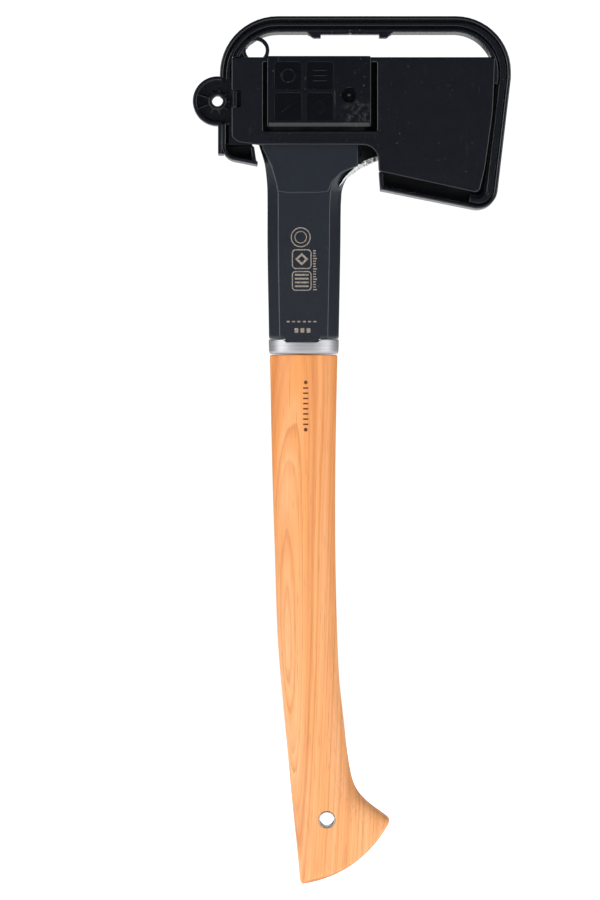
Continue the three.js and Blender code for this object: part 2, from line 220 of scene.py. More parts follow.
def plate(name, loops, front, back, bevel=0.35, rows=2):
    """A flat piece with rounded rims: closed outlines in X-Z, thick from y = front to y = back."""
    curve = bpy.data.curves.new(name, "CURVE")
    curve.dimensions = "2D"
    curve.fill_mode = "BOTH"
    curve.extrude = ((back - front) / 2 - bevel) * MM
    curve.bevel_depth = bevel * MM
    curve.bevel_resolution = rows
    curve.offset = -bevel * MM
    for loop in loops:
        spline = curve.splines.new("POLY")
        spline.points.add(len(loop) - 1)
        for target, point in zip(spline.points, loop):
            target.co = (point[0] * MM, point[1] * MM, 0, 1)
        spline.use_cyclic_u = True
    drawn = new_object(name + "_outline", curve)
    mesh = bpy.data.meshes.new_from_object(drawn.evaluated_get(bpy.context.evaluated_depsgraph_get()))
    bpy.data.objects.remove(drawn)
    bpy.data.curves.remove(curve)
    mesh.transform(Matrix.Translation((0, (front + back) / 2 * MM, 0)) @ Matrix.Rotation(math.pi / 2, 4, "X"))
    repair(mesh, WELD)
    mesh.name = name
    return new_object(name, mesh)


def apply_modifiers(thing):
    graph = bpy.context.evaluated_depsgraph_get()
    mesh = bpy.data.meshes.new_from_object(thing.evaluated_get(graph))
    thing.modifiers.clear()
    old = thing.data
    thing.data = mesh
    bpy.data.meshes.remove(old)
    return thing


def combine(thing, others, operation):
    for other in others:
        step = thing.modifiers.new("step", "BOOLEAN")
        step.operation = operation
        step.object = other
        step.solver = "MANIFOLD"
        before = len(thing.data.polygons)
        apply_modifiers(thing)
        if before and not len(thing.data.polygons):
            raise RuntimeError(f"{thing.name}: {operation} with {other.name} left nothing")
        bpy.data.objects.remove(other)
    return thing


def unite(thing, *others):
    return combine(thing, others, "UNION")


def carve(thing, *others):
    return combine(thing, others, "DIFFERENCE")


def trim(thing, other):
    return combine(thing, [other], "INTERSECT")


def subdivided(thing):
    step = thing.modifiers.new("subdivision", "SUBSURF")
    step.levels = step.render_levels = 1
    return apply_modifiers(thing)


def softened(thing, width, angle=40):
    """Small rounds on the sharp edges that cuts and joins have left."""
    step = thing.modifiers.new("edges", "BEVEL")
    step.width = width * MM
    step.segments = 2
    step.limit_method = "ANGLE"
    step.angle_limit = math.radians(angle)
    return apply_modifiers(thing)


def shaded(thing, angle):
    """Smooth shading up to an angle between faces, with flat faces kept flat."""
    for polygon in thing.data.polygons:
        polygon.use_smooth = True
    thing.data.set_sharp_from_angle(angle=math.radians(angle))
    step = thing.modifiers.new("flat faces stay flat", "WEIGHTED_NORMAL")
    step.mode = "FACE_AREA"
    step.weight = 50
    step.keep_sharp = True
    return apply_modifiers(thing)


def box_solid(name, low, high):
    corners = [(x, y, z) for x in (low[0], high[0]) for y in (low[1], high[1]) for z in (low[2], high[2])]
    faces = [(0, 1, 3, 2), (4, 6, 7, 5), (0, 4, 5, 1), (2, 3, 7, 6), (0, 2, 6, 4), (1, 5, 7, 3)]
    return from_points(name, corners, faces)


def loft(name, rings, crowned_ends=False):
    """A closed skin through rings of points; flat ends, or ends gathered to a middle point."""
    count = len(rings[0])
    points = [p for ring in rings for p in ring]
    faces = []
    for level in range(len(rings) - 1):
        for index in range(count):
            a, b = level * count + index, level * count + (index + 1) % count
            faces.append((a, b, b + count, a + count))
    last = (len(rings) - 1) * count
    if crowned_ends:
        for base, ring in ((0, rings[0]), (last, rings[-1])):
            points.append(sum((Vector(p) for p in ring), Vector()) / count)
            middle = len(points) - 1
            faces += [(base + index, base + (index + 1) % count, middle) for index in range(count)]
    else:
        faces.append(tuple(reversed(range(count))))
        faces.append(tuple(range(last, last + count)))
    return from_points(name, points, faces)


def lathe(name, profile, centre, sides):
    """A ring turned about an axis along Y at centre (x, z): profile points (radius, y), closed on itself."""
    rings = []
    for number in range(sides):
        angle = 2 * math.pi * number / sides
        x, z = math.cos(angle), math.sin(angle)
        rings.append([(centre[0] + r * x, y, centre[1] + r * z) for r, y in profile])
    count = len(profile)
    points = [p for ring in rings for p in ring]
    faces = []
    for side in range(sides):
        for index in range(count):
            here, ahead = side * count, (side + 1) % sides * count
            after = (index + 1) % count
            faces.append((here + index, here + after, ahead + after, ahead + index))
    return from_points(name, points, faces)


def cutter(name, loops, front=-BEYOND, back=BEYOND, bevel=0.01):
    """A plate with sharp rims."""
    return plate(name, loops, front, back, bevel, 0)


def round_cutter(name, centre, radius, front=-BEYOND, back=BEYOND):
    return cutter(name, [circle(centre, radius, 64)], front, back)


# ---- materials
class Graph:
    """A node tree being built: add() makes a node, links sockets and sets plain values.
    Scales of noise are per metre, and depths of bump are in metres."""

    def __init__(self, name):
        self.material = bpy.data.materials.new(name)
        self.material.use_nodes = True
        self.tree = self.material.node_tree
        self.shader = self.tree.nodes["Principled BSDF"]
        self.place = self.add("ShaderNodeTexCoord").outputs["Object"]

    def add(self, kind, inputs=None, **settings):
        node = self.tree.nodes.new(kind)
        for key, value in settings.items():
            setattr(node, key, value)
        for key, value in (inputs or {}).items():
            self.feed(node.inputs[key], value)
        return node

    def feed(self, socket, value):
        if isinstance(value, bpy.types.NodeSocket):
            self.tree.links.new(value, socket)
        else:
            socket.default_value = (*value, 1) if socket.type == "RGBA" else value

    def set(self, **values):
        for key, value in values.items():
            self.feed(self.shader.inputs[key.replace("_", " ")], value)

    def stretched(self, scale, rotation=(0, 0, 0), location=(0, 0, 0)):
        inputs = {"Vector": self.place, "Scale": scale, "Rotation": rotation, "Location": location}
        return self.add("ShaderNodeMapping", inputs).outputs["Vector"]

    def noise(self, scale, detail, roughness, where=None, distortion=0.0):
        inputs = {"Vector": where or self.place, "Scale": scale, "Detail": detail,
                  "Roughness": roughness, "Distortion": distortion}
        return self.add("ShaderNodeTexNoise", inputs).outputs["Fac"]

    def spread(self, value, low, high, new_low=0.0, new_high=1.0):
        inputs = {"Value": value, "From Min": low, "From Max": high, "To Min": new_low, "To Max": new_high}
        return self.add("ShaderNodeMapRange", inputs).outputs["Result"]

    def math(self, operation, first, second=0.0):
        return self.add("ShaderNodeMath", {0: first, 1: second}, operation=operation).outputs["Value"]

    def mix(self, share, first, second):
        node = self.add("ShaderNodeMix", data_type="RGBA")
        for socket, value in ((node.inputs[0], share), (node.inputs[6], first), (node.inputs[7], second)):
            self.feed(socket, value)
        return node.outputs[2]

    def bump(self, height, depth, strength, normal=None):
        inputs = {"Height": height, "Distance": depth, "Strength": strength}
        if normal:
            inputs["Normal"] = normal
        return self.add("ShaderNodeBump", inputs).outputs["Normal"]

    def times(self, first, second):
        return self.math("MULTIPLY", first, second)

    def plus(self, first, second):
        return self.math("ADD", first, second)

    def minus(self, first, second):
        return self.math("SUBTRACT", first, second)

    def axis(self, name, source=None):
        return self.add("ShaderNodeSeparateXYZ", {"Vector": source or self.place}).outputs[name]


def grey(value):
    return (value, value, value)


def dimmed(tone, factor):
    return tuple(channel * factor for channel in tone)


PLASTIC_GLOSS = 0.50
# Depths behind the tongue's frontmost point, in mm: where its recesses begin, and where its lip ends
RECESS_FROM, RECESS_FULL = 0.78, 0.98
LIP_END, LIP_FULL = 0.55, 0.35
FROST_PLACE = (0.0310, TONGUE_LOW.y * MM, 0.4460)
FROST_INNER, FROST_OUTER = 0.003, 0.012


def moulded_plastic(name, base, dust_and_highlight_tone, roughness, grain, scuffs, tongue_with_wear_and_light=False):
    """Moulded plastic: fine spark texture, slow waviness, handling scuffs and specks of dust."""
    g = Graph(name)
    slow = g.noise(45, 3, 0.55)
    specks = g.spread(g.noise(620, 1, 0.4), 0.735, 0.80)
    scratch_space = g.stretched((1, 1, 0.09), rotation=(0.05, 0.25, 0.1))
    scratches = g.spread(g.noise(520, 2, 0.6, scratch_space, 1.2), 0.66, 0.78)
    patches = g.spread(g.noise(38, 3, 0.6), 0.52, 0.72)
    scuffed = g.times(scratches, g.times(patches, scuffs))
    tone = g.mix(g.spread(slow, 0.3, 0.7), base, dimmed(base, 1.15))
    tone = g.mix(g.times(specks, 0.55), tone, dust_and_highlight_tone)
    tone = g.mix(g.times(scuffed, 0.6), tone, dust_and_highlight_tone)
    rough = g.spread(g.noise(150, 4, 0.6), 0.3, 0.7, roughness - 0.01, roughness + 0.01)
    rough = g.plus(rough, g.times(scuffed, 0.2))
    # On the tongue: wear, painted shade in the recesses and a painted highlight on the lip
    if tongue_with_wear_and_light:
        tone, rough = tongue_wear_shade_and_highlight(g, base, dust_and_highlight_tone, tone, rough)
    wavy = g.bump(slow, 0.0002, 0.12)
    normal = g.bump(g.noise(2600, 2, 0.6), grain, 0.8, wavy)
    g.set(Base_Color=tone, Roughness=rough, Normal=normal, Specular_IOR_Level=PLASTIC_GLOSS)
    return g.material


def tongue_wear_shade_and_highlight(g, base, dust_and_highlight_tone, tone, rough):
    """A patch that a thumb has frosted, recesses that stay polished and carry painted shade, and a lip worn
    rougher that carries a painted highlight.
    """
    distance = g.add("ShaderNodeVectorMath", {0: g.place, 1: FROST_PLACE}, operation="DISTANCE")
    cloud = g.spread(g.noise(240, 5, 0.75), 0.48, 0.75)
    near = g.spread(distance.outputs["Value"], FROST_INNER, FROST_OUTER, 1, 0)
    frost = g.times(near, cloud)
    tone = g.mix(g.times(frost, 0.55), tone, dust_and_highlight_tone)
    rough = g.plus(rough, g.times(frost, 0.25))
    depth = g.axis("Y")
    # Painted shade: the recesses' colour is darkened to 0.7 of the base; their slightly lower roughness is
    # polish
    recess_shade_and_polish = g.spread(depth, (TONGUE_LOW.y + RECESS_FROM) * MM, (TONGUE_LOW.y + RECESS_FULL) * MM)
    tone = g.mix(recess_shade_and_polish, tone, dimmed(base, 0.7))
    rough = g.minus(rough, g.times(recess_shade_and_polish, 0.035))
    # Painted highlight: the lip's colour is lightened toward the dust tone, standing in for light from below;
    # its added roughness is wear
    lip = g.spread(depth, (TONGUE_LOW.y + LIP_END) * MM, (TONGUE_LOW.y + LIP_FULL) * MM)
    rubbed_and_lit_lip = g.times(lip, g.spread(g.noise(800, 4, 0.7), 0.35, 0.6, 0.35, 1.0))
    return g.mix(g.times(rubbed_and_lit_lip, 0.20), tone, dust_and_highlight_tone), g.plus(rough, g.times(rubbed_and_lit_lip, 0.25))


def brushed_steel(name, light, dark, roughness, streak_scale):
    """Ground steel: long fine scratches in one direction, cloudy variation and faint spots."""
    g = Graph(name)
    along = g.stretched(streak_scale)
    streaks = g.noise(260, 4, 0.7, along)
    fine = g.noise(1400, 2, 0.6, along)
    cloud = g.noise(30, 4, 0.6)
    spots = g.spread(g.noise(340, 2, 0.5), 0.70, 0.78)
    tone = g.mix(g.spread(streaks, 0.35, 0.65), dark, light)
    tone = g.mix(g.spread(cloud, 0.35, 0.75, 0, 0.35), tone, dark)
    tone = g.mix(g.times(spots, 0.35), tone, dark)
    rough = g.spread(fine, 0.3, 0.7, roughness - 0.07, roughness + 0.09)
    g.set(Base_Color=tone, Metallic=1.0, Roughness=rough, Normal=g.bump(fine, 0.00003, 0.6))
    return g.material


GRIND_REACH, GRIND_BLUR = 24, 2  # width of the bright grind behind the cutting edge, and of its border


def forged_head_steel():
    """Dark scale-finished forging whose bevels near the edge are ground bright."""
    g = Graph("forged_steel")
    wobble = g.times(g.noise(60, 3, 0.5), 0.004)
    ground = g.spread(g.plus(g.axis("X"), wobble), (HEAD_HIGH.x - GRIND_REACH) * MM,
                      (HEAD_HIGH.x - GRIND_REACH + GRIND_BLUR) * MM)
    blotches = g.spread(g.noise(160, 5, 0.65), 0.35, 0.7)
    scale_tone = g.mix(blotches, (0.012, 0.0125, 0.014), (0.022, 0.0225, 0.025))
    along = g.stretched((1, 1, 0.05))
    streaks = g.noise(900, 3, 0.6, along)
    bright = g.mix(g.spread(streaks, 0.3, 0.7), (0.42, 0.42, 0.43), (0.66, 0.66, 0.67))
    tone = g.mix(ground, scale_tone, bright)
    rough = g.mix(ground, grey(0.52), grey(0.27))
    pits = g.bump(g.noise(700, 4, 0.7), 0.00012, 0.7)
    g.set(Base_Color=tone, Metallic=1.0, Roughness=rough, Normal=g.bump(streaks, 0.00002, 0.5, pits))
    return g.material


LATEWOOD = ((0.55, 0.12), (0.86, 0.9), (0.93, 1.0))  # darkness through one growth layer
LATEWOOD_END = 0.05
RINGS_PER_METRE = 340
WOOD_GLOSS = 0.42


def growth_radius(g):
    """Distance from a leaning, wavering heart line outside the handle, so that layers arch on one side."""
    lean = g.stretched((1, 1, 1), (math.radians(2.3), math.radians(-2.2), 0), (0.0155, 0.0155, 0))
    drift = g.noise(7, 2, 0.5, g.stretched((1, 1, 0.35)))
    x = g.plus(g.axis("X", lean), g.times(g.minus(drift, 0.5), 0.014))
    y = g.times(g.axis("Y", lean), 1.15)
    radius = g.math("SQRT", g.plus(g.times(x, x), g.times(y, y)))
    ripple = g.noise(90, 3, 0.6, g.stretched((1, 1, 0.05)))
    return g.plus(radius, g.times(g.minus(ripple, 0.5), 0.0016))


def hickory():
    """Light hickory: growth layers cut lengthwise, dark latewood lines, open pores, a satin oil finish, and
    painted light that makes it paler toward the bottom.
    """
    g = Graph("hickory")
    radius = growth_radius(g)
    across = g.add("ShaderNodeCombineXYZ", {"X": radius}).outputs["Vector"]
    uneven = g.noise(150, 2, 0.5, across)
    counted = g.plus(g.times(radius, RINGS_PER_METRE), g.times(uneven, 4.5))
    late = g.add("ShaderNodeValToRGB", {"Fac": g.math("FRACT", counted)})
    ramp = late.color_ramp.elements
    ramp[0].color, ramp[-1].color = (0, 0, 0, 1), (*grey(LATEWOOD_END), 1)
    for position, darkness in LATEWOOD:
        ramp.new(position).color = (*grey(darkness), 1)
    strength = g.spread(g.noise(410, 1, 0.5, across), 0.35, 0.65, 0.25, 1.0)
    layer = g.times(late.outputs["Color"], strength)
    pores = g.spread(g.noise(1900, 2, 0.5, g.stretched((1, 1, 0.028))), 0.60, 0.74)
    fibres = g.noise(1500, 3, 0.6, g.stretched((1, 1, 0.012)))
    broad = g.spread(g.noise(26, 3, 0.6, g.stretched((1, 1, 0.09))), 0.35, 0.65, 0, 0.5)
    warm_bands = g.spread(g.noise(330, 3, 0.6, across), 0.42, 0.62)
    # Painted light: the wood is paler toward the bottom, standing in for light from below
    paler_low_painted_light = g.spread(g.axis("Z"), 0.06, WOOD_TOP * MM, -0.30, 0.45)
    tone_and_painted_light = g.plus(g.plus(broad, paler_low_painted_light), g.times(warm_bands, 0.40))
    tone = g.mix(tone_and_painted_light, (0.99, 0.50, 0.225), (0.85, 0.305, 0.070))
    tone = g.mix(g.times(layer, 0.66), tone, (0.60, 0.190, 0.046))
    tone = g.mix(g.times(g.spread(fibres, 0.45, 0.75), 0.30), tone, (0.52, 0.18, 0.055))
    tone = g.mix(g.times(pores, 0.45), tone, (0.33, 0.11, 0.035))
    facing_down = g.spread(g.axis("Z", g.add("ShaderNodeTexCoord").outputs["Normal"]), -0.35, -0.8)
    tone = g.mix(g.times(facing_down, 0.75), tone, (0.40, 0.130, 0.038))  # end grain of the butt
    rough = g.spread(fibres, 0.3, 0.7, 0.42, 0.56)
    grain = g.minus(g.times(fibres, 0.4), g.times(pores, 0.7))
    normal = g.bump(grain, 0.00011, 0.55)
    g.set(Base_Color=tone, Roughness=rough, Normal=normal, Specular_IOR_Level=WOOD_GLOSS)
    return g.material


INK_GLOSS = 0.15


def printed_mark(name, fresh, worn):
    g = Graph(name)
    patch = g.spread(g.noise(900, 3, 0.6), 0.35, 0.65)
    rough = g.spread(patch, 0, 1, 0.4, 0.6)
    g.set(Base_Color=g.mix(patch, fresh, worn), Roughness=rough, Specular_IOR_Level=INK_GLOSS)
    return g.material


SHEATH_BLACK = moulded_plastic("sheath_black", (0.0030, 0.0042, 0.0075), grey(0.07), 0.265, 0.000009, 0.45)
# The tongue's finish carries painted shade in its recesses and a painted highlight on its lip
TONGUE_BLACK = moulded_plastic("tongue_black", (0.0034, 0.0044, 0.0075), grey(0.10), 0.22, 0.000008, 0.8,
                               tongue_with_wear_and_light=True)
COMPOSITE = moulded_plastic("composite_navy", (0.0078, 0.0114, 0.0180), grey(0.06), 0.33, 0.00003, 0.15)
HEAD_STEEL = forged_head_steel()
COLLAR_STEEL = brushed_steel("ferrule_steel", (0.50, 0.50, 0.52), (0.38, 0.38, 0.40), 0.50, (0.05, 0.05, 4))
TUBE_STEEL = brushed_steel("tube_steel", grey(0.70), (0.50, 0.50, 0.51), 0.28, (4, 0.2, 4))
ROD_STEEL = brushed_steel("rod_steel", (0.55, 0.55, 0.56), (0.40, 0.40, 0.41), 0.35, (4, 4, 0.1))
WOOD = hickory()
PRINT_INK = printed_mark("print_ink", (0.36, 0.31, 0.265), (0.20, 0.172, 0.148))
BURNT = printed_mark("burnt_mark", (0.080, 0.026, 0.008), (0.17, 0.060, 0.020))


def finish_piece(thing, body, material, nodes=(), angle=32):
    shaded(thing, angle)
    thing.data.materials.clear()
    thing.data.materials.append(material)
    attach(thing, body)
    if nodes:
        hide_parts(*nodes)
    return thing


# ---- marks laid on a surface
MARK_PROUD, MARK_SUNK = 0.05, 0.25


def laid_mark(name, loops, surface):
    """Thin printed or burnt figures: flat outlines laid against a surface from the front."""
    mark = cutter(name, loops, -0.5, 0.5, 0.02)
    for vertex in mark.data.vertices:
        origin = Vector((vertex.co.x, -1, vertex.co.z))
        hit = surface.ray_cast(origin, Vector((0, 1, 0)))[0]
        if hit is None:
            raise RuntimeError(f"{name} misses its surface")
        vertex.co.y = hit.y + (-MARK_PROUD if vertex.co.y < 0 else MARK_SUNK) * MM
    return mark


def lay_marks(prefix, marks, base, material):
    surface = BVHTree.FromObject(base, bpy.context.evaluated_depsgraph_get())
    for number, loops in enumerate(marks):
        mark = laid_mark(f"{prefix}_{number:02d}", loops, surface)
        finish_piece(mark, "hatchet", material)


def frame_loops(left, bottom, side, line, radius):
    outer = rectangle(left, left + side, bottom, bottom + side, radius)
    inner = rectangle(left + line, left + side - line, bottom + line, bottom + side - line, radius - line)
    return [outer, hole(inner)]


# ---- wood handle
ROUND_POWER = 2.25  # 2 is an ellipse, and more is squarer
HOOK_TOP = 72
BUTT_LEFT, BUTT_RIGHT = 0.9, Vector((49.6, 37.0))
BUTT_CROWN = 7.6
# Below the straight grip the section tips round to the butt's sweep: levels at left and right, x at right
HOOK = [((61, 62.5), 27.9), ((53, 57.6), 29.6), ((44, 53.2), 32.4), ((35, 49.4), 36.0), ((26, 46.2), 39.9),
        ((17.5, 43.6), 43.6), ((10, 41.4), 46.6), ((4.5, 39.6), 48.9), ((1.9, 38.4), 49.8)]


def oval_between(left, right, half, count=56, power=ROUND_POWER):
    """An oval spanned by two points of the side outline and the piece's half thickness."""
    left, right = Vector((left[0], 0, left[1])), Vector((right[0], 0, right[1]))
    middle, reach = (left + right) / 2, (right - left) / 2
    ring = []
    for number in range(count):
        angle = 2 * math.pi * number / count
        cosine, sine = math.cos(angle), math.sin(angle)
        x = math.copysign(abs(cosine) ** (2 / power), cosine)
        y = math.copysign(abs(sine) ** (2 / power), sine)
        ring.append(middle + reach * x + Vector((0, half * y, 0)))
    return ring


def wood_handle():
    left = smooth([(0, -1.9), (14, -3.3), (49, -6.9), (96, -11.2), (142, -15.1), (194, -16.9), (235, -18.2),
                   (309, -19.8)])
    right = smooth([(60, 28.6), (HOOK_TOP, 26.1), (96, 23.2), (119, 20.7), (142, 19.6), (194, 18.4),
                    (250, 18.5), (309, 19.6)])
    half = smooth([(0, 12.9), (40, 13.1), (90, 12.5), (170, 12.7), (309, 13.3)])
    top = WOOD_TOP
    straight = [top, top - 0.5] + [top - 2 - (top - HOOK_TOP) * n / 30 for n in range(31)]
    rings = [oval_between((left(z), z), (right(z), z), half(z)) for z in straight]
    rings[0] = oval_between((left(top) + 0.5, top), (right(top) - 0.5, top), half(top) - 0.5)
    for number, ((low, high), x) in enumerate(HOOK):
        squarer = ROUND_POWER + 2.6 * max(0, number - 2) / 6
        rings.append(oval_between((left(low), low), (x, high), half(low), power=squarer))
    # The butt's face: a squarish rim, crowned along its length
    rim_left = Vector((left(BUTT_LEFT) + 0.1, BUTT_LEFT))
    chord = BUTT_RIGHT - rim_left
    outward = Vector((chord.y, -chord.x)).normalized()
    for share in (0.985, 0.95, 0.88, 0.78, 0.66, 0.52, 0.38, 0.24, 0.10):
        middle = (rim_left + BUTT_RIGHT) / 2 + outward * (0.5 + BUTT_CROWN * (1 - share ** 2.1))
        reach = chord * share / 2
        rings.append(oval_between(middle - reach, middle + reach, 11.3 + 1.5 * min(1, 2 * share), power=5.2))
    body = subdivided(loft("wood_grip", list(reversed(rings)), crowned_ends=True))
    return carve(body, round_cutter("tube_way", TUBE_CENTRE, TUBE_OUTER + 0.12, -20, 20))


def lanyard_tube():
    """Steel liner with rounded, slightly proud lips at both mouths."""
    front, back = TUBE_LOW.y - 0.1, TUBE_HIGH.y + 0.1
    lip, wall = 0.45, TUBE_OUTER - TUBE_INNER
    profile = [(TUBE_OUTER, front + lip)]
    for mouth, sign in ((front, 1), (back, -1)):
        profile += [(TUBE_INNER + wall * s, mouth + sign * lip * (1 - math.sin(math.pi * s)))
                    for s in (0.9, 0.7, 0.5, 0.3, 0.1, 0.0)[::sign]]
    profile += [(TUBE_OUTER, back - lip)]
    return lathe("lanyard_liner", profile, TUBE_CENTRE, 56)


# ---- collar
COLLAR_POWER, COLLAR_WALL = 2.35, 1.35
NOTCH_DEPTH = 2.0


def collar():
    """A drawn steel band with a worn foot, a rounded top and a notch at the front for the neck's lip."""
    bottom, top = COLLAR_LOW.z, COLLAR_HIGH.z
    half_x, half_y = (COLLAR_HIGH.x - COLLAR_LOW.x) / 2, (COLLAR_HIGH.y - COLLAR_LOW.y) / 2

    def ring(z, inset):
        return oval_between((-half_x + inset, z), (half_x - inset, z), half_y - inset, 96, COLLAR_POWER)

    outside = [ring(bottom, 0.95), ring(bottom + 0.3, 0.65), ring(bottom + 0.9, 0.38), ring(bottom + 2, 0.2),
               ring(top - 1, 0.02), ring(top - 0.35, 0.1), ring(top - 0.08, 0.3), ring(top, 0.55)]
    body = loft("collar", outside)
    carve(body, loft("bore", [ring(bottom - 1, COLLAR_WALL), ring(top + 1, COLLAR_WALL)]))
    floor = top - NOTCH_DEPTH
    notch = polygon((-12.6, top + 1), (-10.3, floor), (7.9, floor), (11.0, top + 1))
    carve(body, cutter("notch", [notch], -20, -4))
    return softened(body, 0.12, 50)


# ---- composite neck
def neck_ring(z, left, right, half, flat_left, flat_right):
    """A section with a flat front and back, angled flanks and rounded sides."""
    side, crisp, blunt = half * 0.40, 0.6, 3.6
    corners = [[flat_left, -half, crisp], [flat_right, -half, crisp], [right, -side, blunt],
               [right, side, blunt], [flat_right, half, crisp], [flat_left, half, crisp],
               [left, side, blunt], [left, -side, blunt]]
    points = []
    for index, (x, y, radius) in enumerate(corners):
        here = Vector((x, y))
        back = (Vector(corners[index - 1][:2]) - here).normalized()
        ahead = (Vector(corners[(index + 1) % 8][:2]) - here).normalized()
        for share in (0, 0.2, 0.4, 0.6, 0.8, 1):
            a, b = here + back * radius * (1 - share), here + ahead * radius * share
            points.append(a.lerp(b, share))
    return [(p.x, p.y, z) for p in points]


PANEL_FOOT = 402.2
PANEL_FRONT, PANEL_BACK = 1.15, 0.85  # how far the panels stand off the neck


def neck():
    """The moulded shaft: plain above the collar, spreading into a raised panel and a rib under the head."""
    left = smooth([(317, -20.2), (370, -21.1), (404, -21.2), (413, -21.9), (420, -23.0), (430.4, -26.3)])
    right = smooth([(317, 20.3), (370, 21.3), (399, 21.7), (405, 22.6), (410, 24.8), (414, 28.0), (417, 31.4),
                    (420, 35.2), (423, 37.4), (430.4, 35.5)])
    half = smooth([(317, 13.3), (345, 13.4), (400, 13.7), (430.4, 14.1)])
    bottom, top = COLLAR_HIGH.z + 0.3, HEAD_LOW_EYE
    levels = [bottom, bottom + 0.5, bottom + 2] + [bottom + 6 + n * 8 for n in range(10)]
    levels += [402 + n * 1.6 for n in range(18)] + [top]
    levels = [z for z in levels if z <= top]
    rings = []
    for z in levels:
        inset = {bottom: 0.45, bottom + 0.5: 0.1}.get(z, 0)
        near, far = left(z), right(z)
        rings.append(neck_ring(z, near + inset, far - inset, half(z) - inset, near + 6.2, far - 6.4))
    body = loft("neck", rings)
    foot = PANEL_FOOT
    panel = rounded([[-15.2, foot, 0.6], [-9, foot - 0.9, 9], [8, foot - 0.9, 9], [14.2, foot, 0.6],
                     [16.8, foot + 6, 5], [21.6, foot + 10.8, 5], [27, foot + 13.2, 8], [31.5, foot + 15, 1],
                     [31.5, top], [-24.6, top], [-24.2, foot + 25, 8], [-19.2, foot + 15.4, 12],
                     [-16.7, foot + 6.6, 10]])
    unite(body, plate("panel_front", [panel], -half(foot) - PANEL_FRONT, -9, 0.8, 4),
          plate("panel_back", [panel], 9, half(foot) + PANEL_BACK, 0.8, 4))
    lip = polygon((-12.0, bottom + 2), (-10.0, bottom - 2.0), (7.6, bottom - 2.0), (10.4, bottom + 2))
    unite(body, plate("collar_lip", [lip], -13.3, -11, 0.15, 1))
    unite(body, plate("rib", [rectangle(33.2, 36.7, 420.4, top, 0.3)], -12.6, -6, 0.3, 2))
    for x in (32.4, 36.2):
        groove = bar_loop((x, top - 12), (x + 0.6, top + 2), 0.8)
        carve(body, cutter("rib_groove", [groove], -30, -7, 0.05))
    return body


def eye_ring(z, grown=0.0):
    return oval_between((-15.7 - grown, z), (23.7 + grown, z), 8.2 + grown, 56, 2.3)


def eye_plug():
    """The neck's end inside the head's eye."""
    rings = [eye_ring(HEAD_LOW_EYE - 2), eye_ring(HEAD_HIGH.z - 1.2), eye_ring(HEAD_HIGH.z - 0.5, -0.5)]
    return loft("eye_plug", rings)


# ---- axe head
BEARD_SLOPE = math.tan(math.radians(12.2))
BEARD_BACK = 44.6
EDGE_LEVEL, EDGE_RADIUS = 475, 280
BIT_START = 34  # behind here the sides are the cheeks, and do not follow the edge's curve


def bit_edge(z):
    return HEAD_HIGH.x - (z - EDGE_LEVEL) ** 2 / (2 * EDGE_RADIUS)


def beard_bottom(x):
    return HEAD_LOW.z + 0.1 + (100 - x) * BEARD_SLOPE


def axe_head():
    """Rings of the head's plan at rising levels, cut to its side outline and pierced by the eye."""
    poll, cheek = HEAD_LOW.x, HEAD_HIGH.y
    bit = HEAD_HIGH.x - BIT_START
    profile = smooth([(-38, 11.4), (-30, 12.0), (-22, 12.5), (-12, cheek - 0.3), (-2, cheek),
                      (12, cheek - 0.15), (24, 12.9), (34, 10.0), (46, 7.6), (62, 5.4), (80, 3.7),
                      (90, 2.9), (96, 2.0), (103, 0.95), (109.4, 0.1)])
    rings = []
    for number in range(27):
        z = 399 + (HEAD_HIGH.z - 399) * number / 26
        stretch = (bit_edge(z) - BIT_START) / bit
        places = [poll, poll + 0.5, poll + 1.6]
        places += [poll + 5 + (BIT_START - poll - 5) * n / 14 for n in range(15)]
        places += [BIT_START + bit * n / 26 for n in range(1, 27)]
        near, far = [], []
        for x in places:
            half = profile(x)
            if x < poll + 1.6:
                half -= 1.4 if x == poll else 0.6
            real = x if x <= BIT_START else BIT_START + (x - BIT_START) * stretch
            near.append((real, -half, z))
            far.append((real, half, z))
        rings.append(near + list(reversed(far)))
    body = loft("steel_head", rings)
    beard, low = BEARD_BACK, HEAD_LOW_EYE + 0.5
    outline = rounded([[poll, HEAD_HIGH.z, 2], [poll, low + 0.9, 4], [poll + 8, low, 6], [27, low],
                       [31, 417.4, 2], [38, 420.9, 12], [beard + 0.6, 423.2, 2],
                       [beard, beard_bottom(beard), 1.5],
                       [115, beard_bottom(115)], [115, HEAD_HIGH.z]])
    trim(body, cutter("head_outline", [outline], -20, 20))
    carve(body, loft("eye", [eye_ring(z, 0.3) for z in (HEAD_LOW_EYE - 3, HEAD_HIGH.z + 1)]))
    return softened(body, 0.45, 45)


def throat_edge():
    """The bright, hammered lower lip of the steel where it shows beside the neck."""
    path = rounded([[19.8, 404.6], [24.4, 411.4, 14], [31.2, 417.2, 10], [37.6, 420.2, 10], [44.2, 422.9]],
                   closed=False)
    fine = []
    for start, end in zip(path, path[1:]):
        count = max(1, round((end - start).length / 0.7))
        fine += [start.lerp(end, number / count) for number in range(count)]
    draw = random.Random(12)
    rings = []
    for index, point in enumerate(fine):
        ahead = (fine[min(index + 1, len(fine) - 1)] - fine[max(index - 1, 0)]).normalized()
        side = Vector((ahead.y, -ahead.x))
        grow = min(1, index / 6, (len(fine) - 1 - index) / 2 + 0.5)
        wide = min(max((point.x - 26) / 6, 0.2), 1)
        thin = 0.35 + 0.65 * min(max((point.x - 22) / 8, 0), 1)
        ring = []
        for y, out in ((-9.4, -1.5 * wide), (-10.1, -1.0 * wide), (-9.5, -0.2 * wide), (-8.7, 0.8),
                       (-8.0, 1.4), (0, 1.7), (8.0, 1.4), (8.7, 0.8), (9.8, -0.8 * wide),
                       (9.4, -1.5 * wide), (0, -1.5 * wide)):
            reach = out * thin * (0.45 + 0.55 * grow) + draw.uniform(-0.22, 0.22) * grow * thin
            spot = point + side * reach
            ring.append((spot.x, y * (0.9 + 0.1 * grow) + draw.uniform(-0.25, 0.25), spot.y))
        rings.append(ring)
    return loft("throat_edge", rings)


